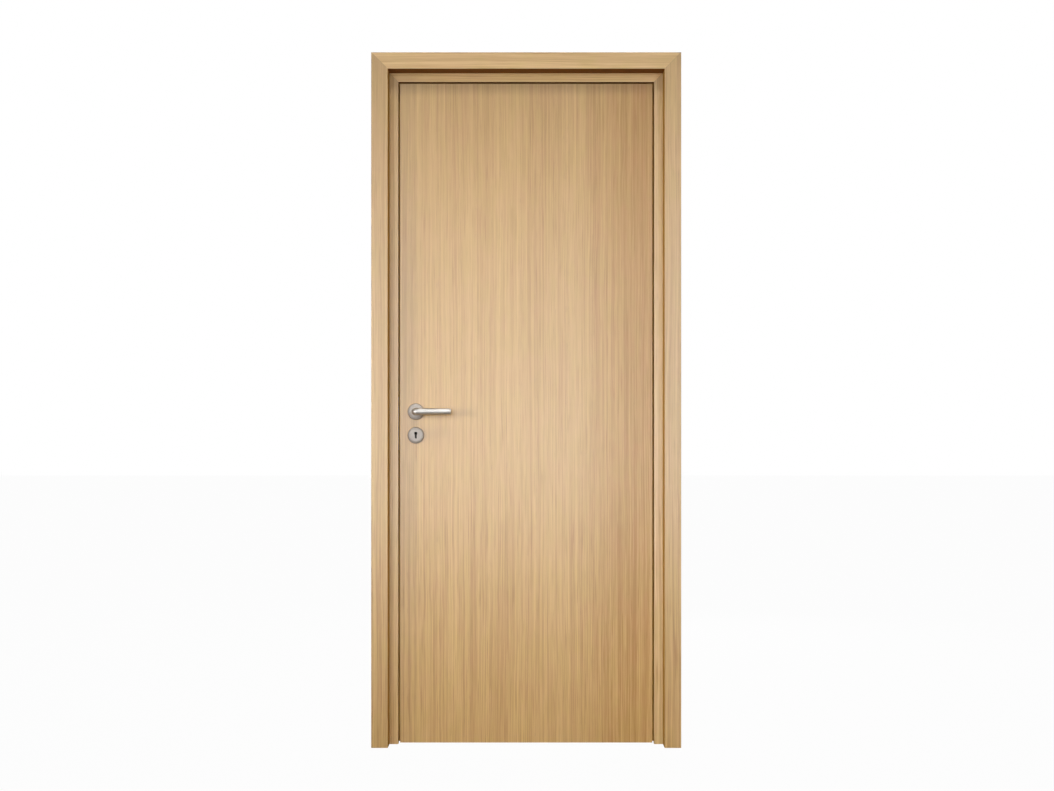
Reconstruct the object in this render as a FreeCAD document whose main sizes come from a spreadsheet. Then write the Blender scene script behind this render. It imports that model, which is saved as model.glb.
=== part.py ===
"""Flush hollow core door in its frame: rebated leaf, mitred frame and telescopic casings.

Seen from the front (-Y), the hinges are at the right (+X) and the lever is at the left.
The leaf opens away from the front. Y = 0 is the plane of the leaf's and the frame's front
face, Z = 0 is the floor, and X = 0 is the outer face of the hinge side jamb, which is
screwed to the wall.
"""

import FreeCAD, Part
import os

import Sketcher

DOCUMENT = FreeCAD.newDocument("flush_hollow_core_door")
SHEET = DOCUMENT.addObject("Spreadsheet::Sheet", "Sizes")
PARTS_FOLDER = "parts"
sub_parts = []

# Driving dimensions in millimetres, and degrees for the angles
SIZES = {
    # Leaf
    "leaf_width": 800,  # width of the leaf's body, without its lip
    "leaf_height": 2090,  # height of the leaf's body, without its lip
    "leaf_thickness": 40,  # thickness of the leaf over both skins
    "skin_thickness": 3,  # veneered board on each side of the leaf
    "lip_overhang": 14,  # how far the lip stands out past the leaf's body
    "lip_thickness": 15,  # thickness of the lip, at the back of the leaf
    "floor_gap": 5,  # gap under the leaf
    "leaf_gap": 6,  # gap between the leaf and the frame at the sides and the head
    "stile_width": 32,  # timber at each side of the leaf, inside
    "rail_width": 60,  # timber at the top and the bottom of the leaf, inside
    "cell_size": 120,  # cell of the honeycomb core, across its flats
    "cell_wall": 2,  # wall between two cells
    "lock_block_width": 100,  # timber beside the lock
    "lock_block_height": 400,  # height of the timber beside the lock
    # Frame
    "jamb_thickness": 45,  # frame, from the clear opening to the wall
    "jamb_depth": 28,  # frame, from its front face to its back face
    "seat_depth": 22,  # front face of the frame to the seat that the lip closes on
    "seal_width": 8,  # width of the seal on the seat
    "seal_height": 2.7,  # how far the seal stands out of the seat
    "seal_inset": 1,  # seat beside the seal, at the clear opening
    "seal_root_width": 3,  # barb that holds the seal in its groove
    "seal_root_depth": 2.5,  # depth of the barb
    "seal_round": 1.2,  # rounding of the seal's face
    "seat_clearance": 0.3,  # clearance of pieces that sit in a groove or a hole
    # Casings
    "frame_strip": 28,  # front face of the frame that shows between opening and casing
    "reveal_depth": 60,  # front of the casing to the front face of the frame
    "casing_width": 52,  # face of the front casing
    "casing_thickness": 12,  # thickness of the casings' faces
    "leg_thickness": 8,  # leg of the front casing that lines the reveal
    "leg_in_groove": 12,  # length of the leg that slides into the frame
    "groove_spare": 3,  # room left at the bottom of the frame's groove
    "casing_round": 1.5,  # rounded arrises of the casings
    # Hinges
    "barrel_radius": 7,  # hinge barrel
    "barrel_standoff": 1.5,  # gap between the hinge barrel and the back of the leaf
    "knuckle_length": 34,  # length of each of a hinge's two knuckles
    "knuckle_gap": 0.5,  # gap between the two knuckles
    "knuckle_bevel": 2.5,  # bevelled end of a knuckle
    "hinge_pin_radius": 3.5,  # pin that carries the leaf
    "hinge_pin_length": 25,  # height of the pin inside the upper knuckle
    "hinge_pin_clearance": 0.05,  # running clearance round the pin
    "stem_radius": 3.5,  # stem that is driven into the timber
    "stem_root": 2,  # how deep a stem is joined into its knuckle's wall
    "pin_spare": 1,  # room left above the hinge pin
    "leaf_stem_length": 46,  # hinge axis to the end of the stem in the leaf
    "frame_stem_length": 34,  # hinge axis to the end of the stem in the frame
    "leaf_stem_angle": 40,  # stem in the leaf, in degrees from the leaf's plane
    "frame_stem_angle": 65,  # stem in the frame, in degrees from the leaf's plane
    "hinge_inset": 240,  # end of the leaf to the middle of the outer hinges
    # Lock and handle
    "spindle_height": 1050,  # bottom of the leaf to the lever's axis
    "backset": 50,  # edge of the leaf to the lever's axis
    "key_distance": 75,  # lever's axis down to the keyhole rose's centre
    "spindle_width": 8,  # square spindle
    "spindle_in_lever": 20,  # depth of the spindle's seat in each lever
    "spindle_spare": 2,  # room left beyond each end of the spindle
    "rose_radius": 26,  # round rose under the lever and round the keyhole
    "rose_thickness": 8,  # how far a rose stands out of the leaf
    "rose_edge_drop": 5,  # flat of a rose down to its straight edge
    "rose_shoulder_drop": 1.5,  # flat of a rose down to its shoulder
    "rose_shoulder_inset": 2,  # edge of a rose in to its shoulder
    "rose_flat_inset": 7.5,  # edge of a rose in to its flat
    "lever_reach": 47,  # face of the leaf to the axis of the lever's grip
    "lever_length": 114,  # spindle's axis to the end of the lever
    "neck_radius": 10,  # lever's neck where it turns in the rose
    "elbow_radius": 11.5,  # lever's elbow, the thickest part
    "elbow_bend": 14,  # bend of the elbow's centre line
    "grip_radius": 10,  # round grip of the lever
    "taper_end": 56,  # spindle's axis to where the grip reaches its own thickness
    "grip_bevel": 1.8,  # bevelled end of the grip
    "neck_clearance": 0.3,  # running clearance of the neck in its rose
    "neck_in_rose": 6,  # depth of the neck inside the rose
    "neck_collar": 2,  # straight part of the neck in front of the rose
    "skin_bore_radius": 13,  # hole through the leaf under the lever's rose
    "keyhole_head": 5,  # radius of the keyhole's round head
    "keyhole_slot": 6,  # width of the keyhole's slot
    "keyhole_drop": 16,  # centre of the round head to the bottom of the slot
    "keyhole_rise": 6,  # round head's centre above the rose's centre
    "lock_case_depth": 75,  # lock case, from the faceplate into the leaf
    "lock_case_height": 165,  # height of the lock case
    "lock_case_thickness": 15,  # thickness of the lock case
    "lock_case_rise": 50,  # lever's axis to the top of the lock case
    "follower_radius": 7,  # hole through the lock case for the spindle
    "plate_width": 18,  # faceplate and strike plate, across the edge
    "faceplate_height": 235,  # height of the lock's faceplate
    "plate_thickness": 3,  # faceplate and strike plate
    "plate_round": 6,  # rounded corners of the two plates
    "latch_width": 9,  # latch and dead bolt, across the edge
    "latch_height": 28,  # height of the latch
    "latch_bevel": 6,  # bevelled side of the latch, towards the frame's strike
    "dead_bolt_height": 36,  # height of the dead bolt
    "bolt_length": 20,  # latch and dead bolt, from the faceplate inwards
    "bolt_clearance": 0.5,  # clearance round the latch and the dead bolt
    "strike_height": 170,  # height of the strike plate
    "strike_hole_spare": 1,  # strike's holes beyond the bolts, all round
    "strike_hole_depth": 22,  # mortise in the frame behind the strike plate
    "cut_margin": 5,  # how far the cutting outlines run past the timber
}

for row, (alias, number) in enumerate(SIZES.items(), start=1):
    SHEET.set("A%d" % row, alias)
    SHEET.set("B%d" % row, str(number))
    SHEET.setAlias("B%d" % row, alias)
DOCUMENT.recompute()

# Places that follow from the sizes, as expressions of the sheet
OPENING_HALF = "(Sizes.leaf_width / 2 + Sizes.leaf_gap)"
OPENING_TOP = "(Sizes.floor_gap + Sizes.leaf_height + Sizes.leaf_gap)"
LEAF_HALF = "(Sizes.leaf_width / 2)"
LIP_HALF = "(Sizes.leaf_width / 2 + Sizes.lip_overhang)"
LEAF_BOTTOM = "Sizes.floor_gap"
LEAF_TOP = "(Sizes.floor_gap + Sizes.leaf_height)"
LIP_TOP = "(Sizes.floor_gap + Sizes.leaf_height + Sizes.lip_overhang)"
LIP_FRONT = "(Sizes.leaf_thickness - Sizes.lip_thickness)"
CORE_FRONT = "Sizes.skin_thickness"
CORE_BACK = "(Sizes.leaf_thickness - Sizes.skin_thickness)"
CORE_HALF = "(Sizes.leaf_width / 2 - Sizes.stile_width)"
CORE_BOTTOM = "(Sizes.floor_gap + Sizes.rail_width)"
CORE_TOP = "(Sizes.floor_gap + Sizes.leaf_height - Sizes.rail_width)"
CENTRE_X = "(-%s - Sizes.jamb_thickness)" % OPENING_HALF
STEP_OUT = "Sizes.lip_overhang"
LEVER_X = "(-Sizes.leaf_width / 2 + Sizes.backset)"
LEVER_Z = "(Sizes.floor_gap + Sizes.spindle_height)"
KEY_Z = "(%s - Sizes.key_distance)" % LEVER_Z
LOCK_Y = "(%s / 2)" % LIP_FRONT
PIVOT_X = "(%s + Sizes.leaf_gap / 2)" % LIP_HALF
PIVOT_Y = "(Sizes.leaf_thickness + Sizes.barrel_standoff + Sizes.barrel_radius)"
HINGE_HEIGHTS = {
    "bottom": "(%s + Sizes.hinge_inset)" % LEAF_BOTTOM,
    "middle": "((%s + %s) / 2)" % (LEAF_BOTTOM, LEAF_TOP),
    "top": "(%s - Sizes.hinge_inset)" % LEAF_TOP,
}


def value(expression):
    """The number that an expression of the sheet gives now."""
    result = SHEET.evalExpression(expression)
    return float(getattr(result, "Value", result))


def new_body(label, x=CENTRE_X, y="0", z="0"):
    """A sub-part of its own, with its label and its place."""
    body = DOCUMENT.addObject("PartDesign::Body", label)
    body.Label = label
    body.setExpression("Placement.Base.x", x)
    body.setExpression("Placement.Base.y", y)
    body.setExpression("Placement.Base.z", z)
    sub_parts.append(body)
    return body


def new_sketch(body, role, name, offset=("0", "0", "0")):
    """An empty sketch on one of the body's own origin planes, moved by offset."""
    sketch = body.newObject("Sketcher::SketchObject", name)
    planes = [feature for feature in body.Origin.OriginFeatures if feature.Role == role]
    sketch.AttachmentSupport = [(planes[0], "")]
    sketch.MapMode = "FlatFace"
    for axis, expression in zip("xyz", offset):
        sketch.setExpression("AttachmentOffset.Base." + axis, expression)
    return sketch


def pin_point(sketch, geometry, vertex, across, up):
    """Ties one point of a sketch to two expressions."""
    for kind, expression in (("DistanceX", across), ("DistanceY", up)):
        rule = Sketcher.Constraint(kind, -1, 1, geometry, vertex, value(expression))
        number = sketch.addConstraint(rule)
        sketch.setExpression("Constraints[%d]" % number, expression)


def outline(body, role, name, corners, offset=("0", "0", "0")):
    """A closed outline of straight sides; each corner is a pair of expressions."""
    sketch = new_sketch(body, role, name, offset)
    points = [FreeCAD.Vector(value(across), value(up), 0) for across, up in corners]
    for start, end in zip(points, points[1:] + points[:1]):
        sketch.addGeometry(Part.LineSegment(start, end), False)
    for side in range(len(points)):
        after = (side + 1) % len(points)
        sketch.addConstraint(Sketcher.Constraint("Coincident", side, 2, after, 1))
    for side, (across, up) in enumerate(corners):
        pin_point(sketch, side, 1, across, up)
    return sketch


def circle(body, role, name, centre, radius, offset=("0", "0", "0")):
    """A sketch of one circle."""
    sketch = new_sketch(body, role, name, offset)
    middle = FreeCAD.Vector(value(centre[0]), value(centre[1]), 0)
    sketch.addGeometry(Part.Circle(middle, FreeCAD.Vector(0, 0, 1), value(radius)), False)
    pin_point(sketch, 0, 3, centre[0], centre[1])
    number = sketch.addConstraint(Sketcher.Constraint("Radius", 0, value(radius)))
    sketch.setExpression("Constraints[%d]" % number, radius)
    return sketch


def rectangle(left, bottom, right, top):
    """Corners of an upright rectangle, for outline."""
    return [(left, bottom), (right, bottom), (right, top), (left, top)]


def pad(body, sketch, length, reverse=False, both_ways=False):
    """Extrudes a sketch."""
    feature = body.newObject("PartDesign::Pad", sketch.Name + "_pad")
    feature.Profile = sketch
    feature.setExpression("Length", length)
    feature.Reversed = reverse
    feature.Midplane = both_ways
    DOCUMENT.recompute()
    return feature


def pocket(body, sketch, depth=None, reverse=False):
    """Cuts a sketch to a depth, or both ways right through; it has to remove material."""
    before = body.Shape.Volume
    feature = body.newObject("PartDesign::Pocket", sketch.Name + "_cut")
    feature.Profile = sketch
    feature.Reversed = reverse
    if depth is None:
        feature.Type = "ThroughAll"
        feature.Midplane = True
    else:
        feature.setExpression("Length", depth)
    DOCUMENT.recompute()
    if not body.Shape.Volume < before:
        raise RuntimeError("%s cuts nothing" % feature.Name)
    return feature


def revolve(body, sketch, axis, angle=360, reverse=False):
    """Turns a sketch about one of its own axes."""
    feature = body.newObject("PartDesign::Revolution", sketch.Name + "_turned")
    feature.Profile = sketch
    feature.ReferenceAxis = (sketch, [axis])
    feature.Angle = angle
    feature.Reversed = reverse
    DOCUMENT.recompute()
    return feature


def dress_edges(body, kind, dimension, chosen, size):
    """Rounds or bevels the edges whose middle point passes the test chosen(point)."""
    base = body.Tip
    names = []
    for number, edge in enumerate(base.Shape.Edges, start=1):
        middle = edge.valueAt((edge.FirstParameter + edge.LastParameter) / 2)
        if chosen(middle):
            names.append("Edge%d" % number)
    if not names:
        raise RuntimeError("%s has no such edge" % body.Label)
    feature = body.newObject("PartDesign::" + kind, body.Name + "_" + kind)
    feature.Base = (base, names)
    feature.setExpression(dimension, size)
    DOCUMENT.recompute()


def round_edges(body, chosen, radius):
    """Rounds the edges that pass the test."""
    dress_edges(body, "Fillet", "Radius", chosen, radius)


def bevel_edges(body, chosen, size):
    """Bevels the edges that pass the test."""
    dress_edges(body, "Chamfer", "Size", chosen, size)


def near(first, second):
    """True where two lengths are the same."""
    return abs(first - second) < 0.001


def slanted_cylinder(body, kind, name, radius, length, place, angle):
    """A level cylinder from a place, turned by an angle from +X towards +Y."""
    feature = body.newObject("PartDesign::" + kind, name)
    feature.setExpression("Radius", radius)
    feature.setExpression("Height", length)
    base = "create(<<vector>>; %s; %s; %s)" % place
    turn = "create(<<rotation>>; %s; 90; 0)" % angle
    feature.setExpression("Placement", "create(<<placement>>; %s; %s)" % (base, turn))
    DOCUMENT.recompute()
    return feature


# Frame members. A section is drawn once, as distances out from the clear opening and back
# from the frame's front face, and serves both sides and the head, mitred at 45 degrees.

SIDES = {"hinge_side": "1", "lock_side": "-1"}


def upright_member(label, side, section, furthest, arrises=(), radius=None):
    """A side piece of the frame or its casing, mitred at its top."""
    body = new_body(label)
    corners = [("%s * (%s + %s)" % (side, OPENING_HALF, out), back) for out, back in section]
    sketch = outline(body, "XY_Plane", label + "_section", corners)
    pad(body, sketch, "%s + %s" % (OPENING_TOP, furthest))
    for out, back in arrises:
        x = value("%s * (%s + %s)" % (side, OPENING_HALF, out))
        y = value(back)
        round_edges(body, lambda point: near(point.x, x) and near(point.y, y), radius)
    inner_x = "%s * (%s - Sizes.cut_margin)" % (side, OPENING_HALF)
    inner_z = "%s - Sizes.cut_margin" % OPENING_TOP
    outer_x = "%s * (%s + %s + Sizes.cut_margin)" % (side, OPENING_HALF, furthest)
    outer_z = "%s + %s + Sizes.cut_margin" % (OPENING_TOP, furthest)
    corners = [(inner_x, inner_z), (outer_x, outer_z), (inner_x, outer_z)]
    pocket(body, outline(body, "XZ_Plane", label + "_mitre", corners))
    return body


def head_member(label, section, furthest, arrises=(), radius=None):
    """The head piece of the frame or its casing, mitred at both ends."""
    body = new_body(label)
    corners = [(back, "%s + %s" % (OPENING_TOP, out)) for out, back in section]
    sketch = outline(body, "YZ_Plane", label + "_section", corners)
    pad(body, sketch, "2 * (%s + %s)" % (OPENING_HALF, furthest), both_ways=True)
    for out, back in arrises:
        z = value("%s + %s" % (OPENING_TOP, out))
        y = value(back)
        round_edges(body, lambda point: near(point.z, z) and near(point.y, y), radius)
    low = "%s - Sizes.cut_margin" % OPENING_TOP
    high = "%s + %s + Sizes.cut_margin" % (OPENING_TOP, furthest)
    for side_name, side in SIDES.items():
        inner = "%s * (%s - Sizes.cut_margin)" % (side, OPENING_HALF)
        outer = "%s * (%s + %s + Sizes.cut_margin)" % (side, OPENING_HALF, furthest)
        corners = [(inner, low), (outer, high), (outer, low)]
        name = "%s_mitre_%s" % (label, side_name)
        pocket(body, outline(body, "XZ_Plane", name, corners))
    return body


def three_members(names, section, furthest, arrises=(), radius=None):
    """Both uprights and the head of one mitred surround, keyed by their place."""
    return {
        "hinge_side": upright_member(names[0], "1", section, furthest, arrises, radius),
        "lock_side": upright_member(names[1], "-1", section, furthest, arrises, radius),
        "head": head_member(names[2], section, furthest, arrises, radius),
    }


LEG_IN = "Sizes.frame_strip"
LEG_OUT = "(Sizes.frame_strip + Sizes.leg_thickness)"
CASING_OUT = "(Sizes.frame_strip + Sizes.casing_width)"
GROOVE_IN = "(%s - Sizes.seat_clearance)" % LEG_IN
GROOVE_OUT = "(%s + Sizes.seat_clearance)" % LEG_OUT
GROOVE_BOTTOM = "(Sizes.leg_in_groove + Sizes.groove_spare)"
ROOT_MIDDLE = "(Sizes.seal_inset + Sizes.seal_width / 2)"
ROOT_IN = "(%s - Sizes.seal_root_width / 2)" % ROOT_MIDDLE
ROOT_OUT = "(%s + Sizes.seal_root_width / 2)" % ROOT_MIDDLE
SEAL_GROOVE_IN = "(%s - Sizes.seat_clearance)" % ROOT_IN
SEAL_GROOVE_OUT = "(%s + Sizes.seat_clearance)" % ROOT_OUT
SEAL_GROOVE_FRONT = "(Sizes.seat_depth - Sizes.seal_root_depth - Sizes.seat_clearance)"
SEAL_FAR = "(Sizes.seal_inset + Sizes.seal_width)"
SEAL_FACE = "(Sizes.seat_depth + Sizes.seal_height)"


def make_jambs():
    """The rebated frame, grooved for the casing's leg and for the seal."""
    section = [
        ("0", "0"),
        (GROOVE_IN, "0"),
        (GROOVE_IN, GROOVE_BOTTOM),
        (GROOVE_OUT, GROOVE_BOTTOM),
        (GROOVE_OUT, "0"),
        ("Sizes.jamb_thickness", "0"),
        ("Sizes.jamb_thickness", "Sizes.jamb_depth"),
        (STEP_OUT, "Sizes.jamb_depth"),
        (STEP_OUT, "Sizes.seat_depth"),
        (SEAL_GROOVE_OUT, "Sizes.seat_depth"),
        (SEAL_GROOVE_OUT, SEAL_GROOVE_FRONT),
        (SEAL_GROOVE_IN, SEAL_GROOVE_FRONT),
        (SEAL_GROOVE_IN, "Sizes.seat_depth"),
        ("0", "Sizes.seat_depth"),
    ]
    names = ("hinge_jamb", "lock_jamb", "head_jamb")
    return three_members(names, section, "Sizes.jamb_thickness")


def make_front_casings():
    """Mitred L-shaped casings whose legs line the reveal and slide into the frame."""
    front = "-Sizes.reveal_depth"
    back = "(Sizes.casing_thickness - Sizes.reveal_depth)"
    section = [
        (LEG_IN, front),
        (CASING_OUT, front),
        (CASING_OUT, back),
        (LEG_OUT, back),
        (LEG_OUT, "Sizes.leg_in_groove"),
        (LEG_IN, "Sizes.leg_in_groove"),
    ]
    arrises = [(LEG_IN, front), (CASING_OUT, front)]
    names = ("front_casing_hinge_side", "front_casing_lock_side", "front_casing_head")
    return three_members(names, section, CASING_OUT, arrises, "Sizes.casing_round")


def make_back_casings():
    """Flat mitred casings on the back of the frame, round the leaf's lip."""
    front = "Sizes.jamb_depth"
    back = "(Sizes.jamb_depth + Sizes.casing_thickness)"
    section = [(STEP_OUT, front), (CASING_OUT, front), (CASING_OUT, back), (STEP_OUT, back)]
    arrises = [(STEP_OUT, back), (CASING_OUT, back)]
    names = ("back_casing_hinge_side", "back_casing_lock_side", "back_casing_head")
    return three_members(names, section, CASING_OUT, arrises, "Sizes.casing_round")


def make_seals():
    """Soft seals in the frame's seat, which the lip closes on."""
    section = [
        ("Sizes.seal_inset", "Sizes.seat_depth"),
        (ROOT_IN, "Sizes.seat_depth"),
        (ROOT_IN, "(Sizes.seat_depth - Sizes.seal_root_depth)"),
        (ROOT_OUT, "(Sizes.seat_depth - Sizes.seal_root_depth)"),
        (ROOT_OUT, "Sizes.seat_depth"),
        (SEAL_FAR, "Sizes.seat_depth"),
        (SEAL_FAR, SEAL_FACE),
        ("Sizes.seal_inset", SEAL_FACE),
    ]
    arrises = [("Sizes.seal_inset", SEAL_FACE), (SEAL_FAR, SEAL_FACE)]
    names = ("seal_hinge_side", "seal_lock_side", "seal_head")
    return three_members(names, section, SEAL_FAR, arrises, "Sizes.seal_round")


# Leaf


def make_skins():
    """The two veneered faces of the leaf; the back one also faces the lip."""
    front = new_body("front_skin")
    corners = rectangle("-" + LEAF_HALF, LEAF_BOTTOM, LEAF_HALF, LEAF_TOP)
    face = outline(front, "XZ_Plane", "front_skin_face", corners)
    pad(front, face, "Sizes.skin_thickness", reverse=True)
    back = new_body("back_skin")
    corners = rectangle("-" + LIP_HALF, LEAF_BOTTOM, LIP_HALF, LIP_TOP)
    offset = ("0", "0", "-" + CORE_BACK)
    face = outline(back, "XZ_Plane", "back_skin_face", corners, offset)
    pad(back, face, "Sizes.skin_thickness", reverse=True)
    return {"front": front, "back": back}


def make_stile(label, side):
    """Timber at one side of the leaf, rebated so that it carries the lip."""
    body = new_body(label)
    section = [
        (CORE_HALF, CORE_FRONT),
        (LEAF_HALF, CORE_FRONT),
        (LEAF_HALF, LIP_FRONT),
        (LIP_HALF, LIP_FRONT),
        (LIP_HALF, CORE_BACK),
        (CORE_HALF, CORE_BACK),
    ]
    corners = [("%s * %s" % (side, across), back) for across, back in section]
    offset = ("0", "0", LEAF_BOTTOM)
    sketch = outline(body, "XY_Plane", label + "_section", corners, offset)
    pad(body, sketch, "Sizes.leaf_height + Sizes.lip_overhang")
    corners = rectangle("-Sizes.cut_margin", LEAF_TOP, LIP_FRONT, LIP_TOP + " + Sizes.cut_margin")
    pocket(body, outline(body, "YZ_Plane", label + "_top_rebate", corners))
    return body


def make_rails():
    """Timber at the top, with the top's lip, and at the bottom."""
    top = new_body("top_rail")
    corners = [
        (CORE_FRONT, CORE_TOP),
        (CORE_BACK, CORE_TOP),
        (CORE_BACK, LIP_TOP),
        (LIP_FRONT, LIP_TOP),
        (LIP_FRONT, LEAF_TOP),
        (CORE_FRONT, LEAF_TOP),
    ]
    section = outline(top, "YZ_Plane", "top_rail_section", corners)
    pad(top, section, "2 * " + CORE_HALF, both_ways=True)
    bottom = new_body("bottom_rail")
    corners = rectangle(CORE_FRONT, LEAF_BOTTOM, CORE_BACK, CORE_BOTTOM)
    section = outline(bottom, "YZ_Plane", "bottom_rail_section", corners)
    pad(bottom, section, "2 * " + CORE_HALF, both_ways=True)


LOCK_BLOCK_LOW = "(%s - Sizes.lock_block_height / 2)" % LEVER_Z
LOCK_BLOCK_HIGH = "(%s + Sizes.lock_block_height / 2)" % LEVER_Z
LOCK_BLOCK_EDGE = "(Sizes.lock_block_width - %s)" % CORE_HALF


def make_lock_block():
    """Timber beside the lock, between the core and the lock stile."""
    body = new_body("lock_block")
    corners = rectangle("-" + CORE_HALF, LOCK_BLOCK_LOW, LOCK_BLOCK_EDGE, LOCK_BLOCK_HIGH)
    offset = ("0", "0", "-" + CORE_FRONT)
    face = outline(body, "XZ_Plane", "lock_block_face", corners, offset)
    pad(body, face, "%s - %s" % (CORE_BACK, CORE_FRONT), reverse=True)
    return body


CELL_STEP = "(Sizes.cell_size + Sizes.cell_wall)"
ROW_STEP = "(%s * sqrt(3) / 2)" % CELL_STEP


def hexagon(across, up):
    """Corners of a cell's outline, with two of its sides upright."""
    half = "Sizes.cell_size / 2"
    corner = "(Sizes.cell_size / sqrt(3))"
    turns = [(0, 1), (-1, 0.5), (-1, -0.5), (0, -1), (1, -0.5), (1, 0.5)]
    return [("(%s + %d * %s)" % (across, side, half), "(%s + %s * %s)" % (up, rise, corner))
            for side, rise in turns]


def cut_cells(body, name, left, low, right, high):
    """Rows of open cells; every second row stands half a cell over."""
    width = "(%s - %s)" % (right, left)
    height = "(%s - %s)" % (high, low)
    columns = "floor((%s - Sizes.cell_wall) / %s - 0.5)" % (width, CELL_STEP)
    rows = "floor((%s - Sizes.cell_wall - 2 * Sizes.cell_size / sqrt(3)) / %s) + 1" % (height, ROW_STEP)
    side_room = "((%s - (%s - 0.5) * %s) / 2)" % (width, columns, CELL_STEP)
    end_room = "((%s - (%s - 1) * %s) / 2)" % (height, rows, ROW_STEP)
    for parity, shift in enumerate(("0", "0.5")):
        across = "(%s + %s + (%s - 0.5) * %s)" % (left, side_room, shift, CELL_STEP)
        up = "(%s + %s + %d * %s)" % (low, end_room, parity, ROW_STEP)
        cell = pocket(body, outline(body, "XZ_Plane", "%s_cell_%d" % (name, parity), hexagon(across, up)))
        repeat = body.newObject("PartDesign::MultiTransform", "%s_rows_%d" % (name, parity))
        repeat.Originals = [cell]
        steps = []
        for axis, step, count in (("X_Axis", CELL_STEP, columns),
                                  ("Z_Axis", "2 * " + ROW_STEP, "floor((%s + 1 - %d) / 2)" % (rows, parity))):
            line = body.newObject("PartDesign::LinearPattern", "%s_%s_%d" % (name, axis[0], parity))
            origin = [feature for feature in body.Origin.OriginFeatures if feature.Role == axis]
            line.Direction = (origin[0], [""])
            line.Mode = "Spacing"
            line.setExpression("Offset", step)
            line.setExpression("Occurrences", count)
            steps.append(line)
        repeat.Transformations = steps
        body.Tip = repeat
        DOCUMENT.recompute()


def make_cores():
    """Honeycomb between the skins: below, beside and above the lock block."""
    levels = {
        "bottom": ("-" + CORE_HALF, CORE_BOTTOM, LOCK_BLOCK_LOW),
        "middle": (LOCK_BLOCK_EDGE, LOCK_BLOCK_LOW, LOCK_BLOCK_HIGH),
        "top": ("-" + CORE_HALF, LOCK_BLOCK_HIGH, CORE_TOP),
    }
    for level, (left, low, high) in levels.items():
        body = new_body("honeycomb_core_" + level)
        corners = rectangle(left, low, CORE_HALF, high)
        offset = ("0", "0", "-" + CORE_FRONT)
        face = outline(body, "XZ_Plane", "core_%s_face" % level, corners, offset)
        pad(body, face, "%s - %s" % (CORE_BACK, CORE_FRONT), reverse=True)
        cut_cells(body, level, left, low, CORE_HALF, high)


# Cuts that the hardware needs. A box runs from one corner to the other in leaf coordinates.


def cut_box(body, name, low, high):
    """Cuts an upright box between two corners out of a body."""
    offset = ("0", "0", "-%s" % low[1])
    corners = rectangle(low[0], low[2], high[0], high[2])
    face = outline(body, "XZ_Plane", name, corners, offset)
    return pocket(body, face, "%s - %s" % (high[1], low[1]))


def cut_bores(body):
    """Round holes for the spindle and for the key, hidden by their roses."""
    for use, height in (("spindle", LEVER_Z), ("key", KEY_Z)):
        name = "%s_%s_bore" % (body.Label, use)
        hole = circle(body, "XZ_Plane", name, (LEVER_X, height), "Sizes.skin_bore_radius")
        pocket(body, hole)


def cut_keyhole(body, across, height):
    """A keyhole right through a piece: a round head over a slot."""
    middle = "(%s + Sizes.keyhole_rise)" % height
    name = body.Label + "_keyhole"
    head = circle(body, "XZ_Plane", name + "_head", (across, middle), "Sizes.keyhole_head")
    pocket(body, head)
    left = "(%s - Sizes.keyhole_slot / 2)" % across
    right = "(%s + Sizes.keyhole_slot / 2)" % across
    corners = rectangle(left, "(%s - Sizes.keyhole_drop)" % middle, right, middle)
    pocket(body, outline(body, "XZ_Plane", name + "_slot", corners))


CASE_TOP = "(%s + Sizes.lock_case_rise)" % LEVER_Z
CASE_LOW = "(%s - Sizes.lock_case_height)" % CASE_TOP
CASE_MIDDLE = "(%s - Sizes.lock_case_height / 2)" % CASE_TOP
CASE_EDGE = "(Sizes.plate_thickness - %s)" % LEAF_HALF
CASE_END = "(%s + Sizes.lock_case_depth)" % CASE_EDGE
CASE_FRONT = "(%s - Sizes.lock_case_thickness / 2)" % LOCK_Y
CASE_BACK = "(%s + Sizes.lock_case_thickness / 2)" % LOCK_Y
PLATE_FRONT = "(%s - Sizes.plate_width / 2)" % LOCK_Y
PLATE_BACK = "(%s + Sizes.plate_width / 2)" % LOCK_Y
FACEPLATE_LOW = "(%s - Sizes.faceplate_height / 2)" % CASE_MIDDLE
FACEPLATE_HIGH = "(%s + Sizes.faceplate_height / 2)" % CASE_MIDDLE
STRIKE_MIDDLE = "((%s + %s) / 2)" % (LEVER_Z, KEY_Z)
STRIKE_LOW = "(%s - Sizes.strike_height / 2)" % STRIKE_MIDDLE
STRIKE_HIGH = "(%s + Sizes.strike_height / 2)" % STRIKE_MIDDLE
BOLTS = {
    "latch": (LEVER_Z, "Sizes.latch_height"),
    "dead_bolt": (KEY_Z, "Sizes.dead_bolt_height"),
}


def bolt_corners(bolt, spare):
    """Front, low, back and high side of a bolt, widened all round by a clearance."""
    middle, height = BOLTS[bolt]
    front = "(%s - Sizes.latch_width / 2 - %s)" % (LOCK_Y, spare)
    back = "(%s + Sizes.latch_width / 2 + %s)" % (LOCK_Y, spare)
    low = "(%s - %s / 2 - %s)" % (middle, height, spare)
    high = "(%s + %s / 2 + %s)" % (middle, height, spare)
    return front, low, back, high


def grown(expression, sign):
    """A place moved outwards by the clearance of a fitted piece."""
    return "(%s %s Sizes.seat_clearance)" % (expression, sign)


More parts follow.
